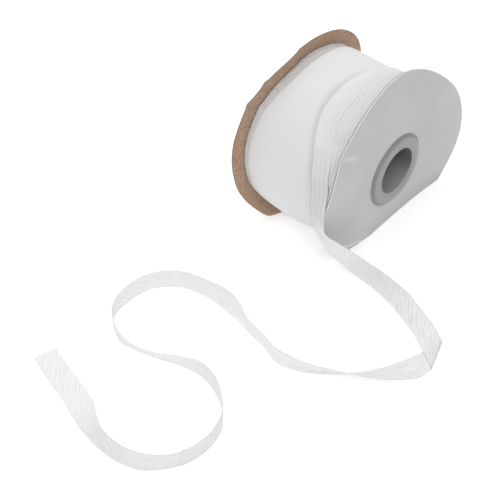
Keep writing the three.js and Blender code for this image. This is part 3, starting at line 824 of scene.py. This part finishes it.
def fold_rows():
    """The turn-over: a half turn about the fold line, whose two edges slide along it to stay in line."""
    rim, mid = np.array([*FOLD_RIM, 0.0]), np.array([*FOLD_MID, 0.0])
    length = np.linalg.norm(mid - rim)
    along = (mid - rim) / length
    outward = np.array([-along[1], along[0], 0.0])
    slide = np.sqrt(length**2 - TAPE_WIDTH**2) / TAPE_WIDTH
    turn = np.radians(FOLD_STEPS)[:, None]
    retreat = FOLD_RADIUS * (1 - np.cos(turn))
    shift = -retreat * outward + np.sign(turn) * slide * retreat * along
    shift[:, 2:] = RESTS_AT + FOLD_RADIUS * (1 - np.sin(turn))
    return np.hstack([rim + shift, mid + shift])


def leaning_rows():
    """Rows that rest on the rim edge and lean by an angle: 0 is flat, to the left of the way, and 90 is on
    edge. The mid edge lies a tape's width off, that angle up from the table."""
    x, y, lean = np.array(LOOP, float).T
    lean = np.radians(lean)
    ahead = np.minimum(np.arange(len(x)) + 1, len(x) - 1)
    behind = np.maximum(np.arange(len(x)) - 1, 0)
    left = np.stack([y[behind] - y[ahead], x[ahead] - x[behind]], axis=-1)
    left = left / np.linalg.norm(left, axis=1, keepdims=True)
    rim = np.stack([x, y, RESTS_AT * np.abs(np.cos(lean))], axis=-1)
    across = np.hstack([left * np.cos(lean)[:, None], np.sin(lean)[:, None]])
    return np.hstack([rim, rim + TAPE_WIDTH * across])


edge_rows = np.vstack([TAKE_OFF, flat_rows(RUN_OUT), fold_rows(), flat_rows(SECOND_LAYER), leaning_rows()])
fold_row = len(TAKE_OFF) + len(RUN_OUT) + len(FOLD_STEPS) // 2
print("the route has", len(edge_rows), "rows")

# %% [markdown]
# A Catmull-Rom curve passes through every row. The centripetal kind is used, because it makes no loops
# where two rows lie close together, as at the fold. The strip is then cut into equal steps along its
# length, so that the weave is as dense everywhere.


# %% Run a curve through the rows
def curve_between(rows, steps):
    """Each stretch is the cubic with the rows' places at its ends. Its end slopes weigh the chords on both
    sides by the square roots of their lengths."""
    held = np.vstack([2 * rows[:1] - rows[1:2], rows, 2 * rows[-1:] - rows[-2:-1]])
    chord = np.diff(held, axis=0)
    gap = np.sqrt(np.linalg.norm(chord, axis=1, keepdims=True))
    before, here, after = gap[:-2], gap[1:-1], gap[2:]
    first, own, last = chord[:-2], chord[1:-1], chord[2:]
    leaves = here * (first / before - (first + own) / (before + here) + own / here)
    arrives = here * (own / here - (own + last) / (here + after) + last / after)
    t = np.linspace(0, 1, steps, endpoint=False)[None, :, None]
    start = rows[:-1, None]
    curve = start + leaves[:, None] * t + (3 * own - 2 * leaves - arrives)[:, None] * t**2
    curve = curve + (leaves + arrives - 2 * own)[:, None] * t**3
    return np.vstack([curve.reshape(-1, 3), rows[-1:]])


CURVE_STEPS = 40
TAPE_STEP = 0.5
rim_curve = curve_between(edge_rows[:, :3], CURVE_STEPS)
mid_curve = curve_between(edge_rows[:, 3:], CURVE_STEPS)
rim_steps, mid_steps = [np.linalg.norm(np.diff(edge, axis=0), axis=1) for edge in (rim_curve, mid_curve)]
steps = 0.5 * (rim_steps + mid_steps)
curve_length = np.concatenate([[0], np.cumsum(steps)])
row_length = curve_length[::CURVE_STEPS]
TAPE_LENGTH = curve_length[-1]
tape_rows = int(TAPE_LENGTH / TAPE_STEP)
along = np.linspace(0, TAPE_LENGTH, tape_rows)
rim_edge = np.stack([np.interp(along, curve_length, rim_curve[:, k]) for k in range(3)], axis=-1)
mid_edge = np.stack([np.interp(along, curve_length, mid_curve[:, k]) for k in range(3)], axis=-1)
print("the loose end is", round(TAPE_LENGTH, 1), "mm long")

# %% [markdown]
# ## The loose tape
# The sheet itself lies between the two edges. It is moved a little along its own normal: pleats where it is
# gathered at the disc's rim, a slow wave that is calm at the fold, the slanting threads, and a few creases
# across it. Both faces are made, a quarter of a millimetre apart, so the edge has a thickness. A table by
# length paints shade on it where it turns away from the light: on the roll, at the fold and on its loops.
# Painted shade also varies across the pleats and darkens the mid edge where it leaves the roll.

# %% Make the loose tape
TAPE_COLUMNS = 27
PLEAT_COUNT = 4.0
PLEAT_HEIGHT = 0.22
PLEAT_GROWTH = 0.14
PLEAT_DRIFT = 0.004
RAISED_THREAD = 0.035
RAISED_PITCH = 1.7
TAPE_SHADE = [
    (0, 0.0), (6, 0.04), (15, 0.08), (25, 0.18), (34, 0.24), (42, 0.20), (50, 0.04), (56, 0.0),
    (150, 0.0), (159, 0.09), (161, 0.16), (163, 0.28), (164.5, 0.12), (167, 0.04), (180, 0.06),
    (200, 0.13), (216, 0.15), (240, 0.05), (265, 0.0), (340, 0.0), (360, 0.03), (385, 0.07), (420, 0.02),
    (450, 0.03), (475, 0.12), (503, 0.14), (527, 0.08), (550, 0.10), (572, 0.02), (600, 0.0), (640, 0.0),
]
CREASES = [(31.2, 0.3), (57.4, 0.45), (63.0, -0.3)]

share = np.linspace(0, 1, TAPE_COLUMNS)[None, :]
tape_shape = (tape_rows, TAPE_COLUMNS)
middle_line = 0.5 * (rim_edge + mid_edge)
heading = np.gradient(middle_line, axis=0)
normal = np.cross(heading, mid_edge - rim_edge)
normal = normal / np.linalg.norm(normal, axis=1, keepdims=True)
edge_wander = 0.22 * uneven((tape_rows, 2), (int(TAPE_LENGTH / 6), 1), 21)
spread = share + (edge_wander[:, :1] * (1 - share) ** 4 + edge_wander[:, 1:] * share**4) / TAPE_WIDTH
sheet_middle = rim_edge[:, None] + spread[..., None] * (mid_edge - rim_edge)[:, None]

length_column = along[:, None]
pleats = smooth_step(length_column, 2, 12) * (1 - smooth_step(length_column, 60, 88))
pleat_wave = np.cos(2 * np.pi * (PLEAT_COUNT * share + PLEAT_DRIFT * length_column))
pleat_height = (PLEAT_HEIGHT + PLEAT_GROWTH * smooth_step(length_column, 34, 48)) * pleats * pleat_wave
near_fold = bell(length_column, row_length[fold_row], 16)
calm = 1 - 0.8 * near_fold
wave = calm * (0.16 * uneven(tape_shape, (int(TAPE_LENGTH / 14), 2), 22)
               + 0.07 * uneven(tape_shape, (int(TAPE_LENGTH / 5), 4), 23))
slant_turn = np.radians(THREAD_SLANT)
slant = length_column * np.sin(slant_turn) - share * TAPE_WIDTH * np.cos(slant_turn)
thread_wander = 2.5 * uneven(tape_shape, (int(TAPE_LENGTH / 7), 3), 24)
threads_raised = RAISED_THREAD * np.sin(2 * np.pi * slant / RAISED_PITCH + thread_wander)
row_index = np.arange(len(row_length))
creases = sum(
    deep * bell(length_column + 3.0 * (share - 0.5), np.interp(row, row_index, row_length), 0.9)
    for row, deep in CREASES
)
offset = pleat_height + wave + threads_raised + creases
surface_middle = sheet_middle + normal[:, None] * offset[..., None]
half = normal[:, None] * CLOTH_THICK / 2
tape_points = np.concatenate([surface_middle + half, (surface_middle - half)[:, ::-1]], axis=1)
tape_points[..., 2] = np.maximum(tape_points[..., 2], 0.02)
print("lowest point of the tape", round(float(tape_points[..., 2].min()), 3), "mm")

across_mm = np.concatenate([share, share[:, ::-1], share[:, :1]], axis=1) * TAPE_WIDTH
tape_uv = np.stack(np.broadcast_arrays(across_mm, length_column), axis=-1)
right_side_mask = np.concatenate([np.zeros(tape_shape), np.ones(tape_shape)], axis=1)
run_out_mask = smooth_step(length_column, 44, 62) + 0 * right_side_mask
faint_mask = smooth_step(length_column, 225, 260) + 0 * right_side_mask
grainy_mask = 1 - smooth_step(length_column, 95, 130) + 0 * right_side_mask
# Painted shade: a table by length, varied across the pleats, and a dark line along the mid edge near the
# roll.
pleat_shade = 0.3 * pleats * np.cos(2 * np.pi * (PLEAT_COUNT * share + 0.1))
shade_mask = table_curve(TAPE_SHADE, length_column) * (1 + pleat_shade)
shade_mask = shade_mask + 0.06 * bell(share, 0.98, 0.06) * (1 - smooth_step(length_column, 44, 56))
shade_mask = np.concatenate([shade_mask, shade_mask[:, ::-1]], axis=1)
tape_masks = {
    "right_side": right_side_mask, "run_out": run_out_mask, "shade": shade_mask, "faint": faint_mask,
    "grainy": grainy_mask,
}
loose_tape = fitted_piece(
    "loose_tape", tape_points, (False, True), tape_material, "tape_end",
    uv=tape_uv, caps=True, masks=tape_masks,
)

# %% [markdown]
# ## Stray threads
# Where the low turns were cut and rubbed beside the back disc, fine ends stand off the edge. Each is a thin
# three-sided tube along a bent line, and all of them are one mesh.

# %% Make the stray threads
THREADS = 90
THREAD_POINTS = 7
THREAD_RADIUS = 0.07

draw = np.random.default_rng(31)
row_number = draw.integers(int(ROLL_ROWS * 50 / 360), int(ROLL_ROWS * 212 / 360), THREADS)
root_turn = roll_turn[row_number, 0]
root_x = back_x[row_number, 0] + draw.uniform(0.3, 2.2, THREADS)
root_radius = roll_radius[row_number, 3] - 0.1
length = draw.uniform(0.8, 2.6, THREADS)
swing = draw.uniform(-1, 1, (THREADS, 2))
t = np.linspace(0, 1, THREAD_POINTS)[None, :]
thread_x = root_x[:, None] - length[:, None] * t * 0.35 + 0.4 * swing[:, :1] * t**2
thread_radius = root_radius[:, None] + length[:, None] * np.sin(t * 1.9) * 0.55
thread_turn = root_turn[:, None] + length[:, None] * (0.6 * t + 0.5 * t**2) * swing[:, 1:] / ROLL_RADIUS
thread_middle = around(thread_x, thread_radius, thread_turn)
thread_heading = np.gradient(thread_middle, axis=1)
side_way = np.cross(thread_heading, (0.3, 0.5, 0.8))
side_way = side_way / np.linalg.norm(side_way, axis=-1, keepdims=True)
up_way = np.cross(thread_heading, side_way)
up_way = up_way / np.linalg.norm(up_way, axis=-1, keepdims=True)
taper_out = THREAD_RADIUS * (1 - 0.6 * t)[..., None]
corners = [
    thread_middle + taper_out * (np.cos(corner) * side_way + np.sin(corner) * up_way)
    for corner in np.radians([0, 120, 240])
]
thread_points = np.stack(corners, axis=2).reshape(-1, 3)

# %% Join the stray threads into one mesh
number = np.arange(THREADS)[:, None, None] * THREAD_POINTS * 3
ring = np.arange(THREAD_POINTS - 1)[None, :, None] * 3
corner = np.arange(3)[None, None, :]
after = (corner + 1) % 3
quads = np.stack([number + ring + corner, number + ring + after, number + ring + 3 + after,
                  number + ring + 3 + corner], axis=-1).reshape(-1, 4)
first_ends = number[:, 0] + np.array([[2, 1, 0]])
last_ends = number[:, 0] + (THREAD_POINTS - 1) * 3 + np.array([[0, 1, 2]])
thread_mesh = bpy.data.meshes.new("stray_threads")
thread_mesh.from_pydata(thread_points * MM, [], [*quads.tolist(), *first_ends.tolist(), *last_ends.tolist()])
thread_mesh.shade_smooth()
thread_finish = Finish("white_thread")
twist = thread_finish.noise(thread_finish.place(), 2500, 1)
thread_mesh.materials.append(thread_finish.surface(
    Base_Color=thread_finish.blend(twist, grey(0.70), grey(0.82)), Roughness=0.8))
stray_threads = bpy.data.objects.new("stray_threads", thread_mesh)
bpy.context.scene.collection.objects.link(stray_threads)
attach(stray_threads, "root")
print("stray_threads", THREADS, "threads")
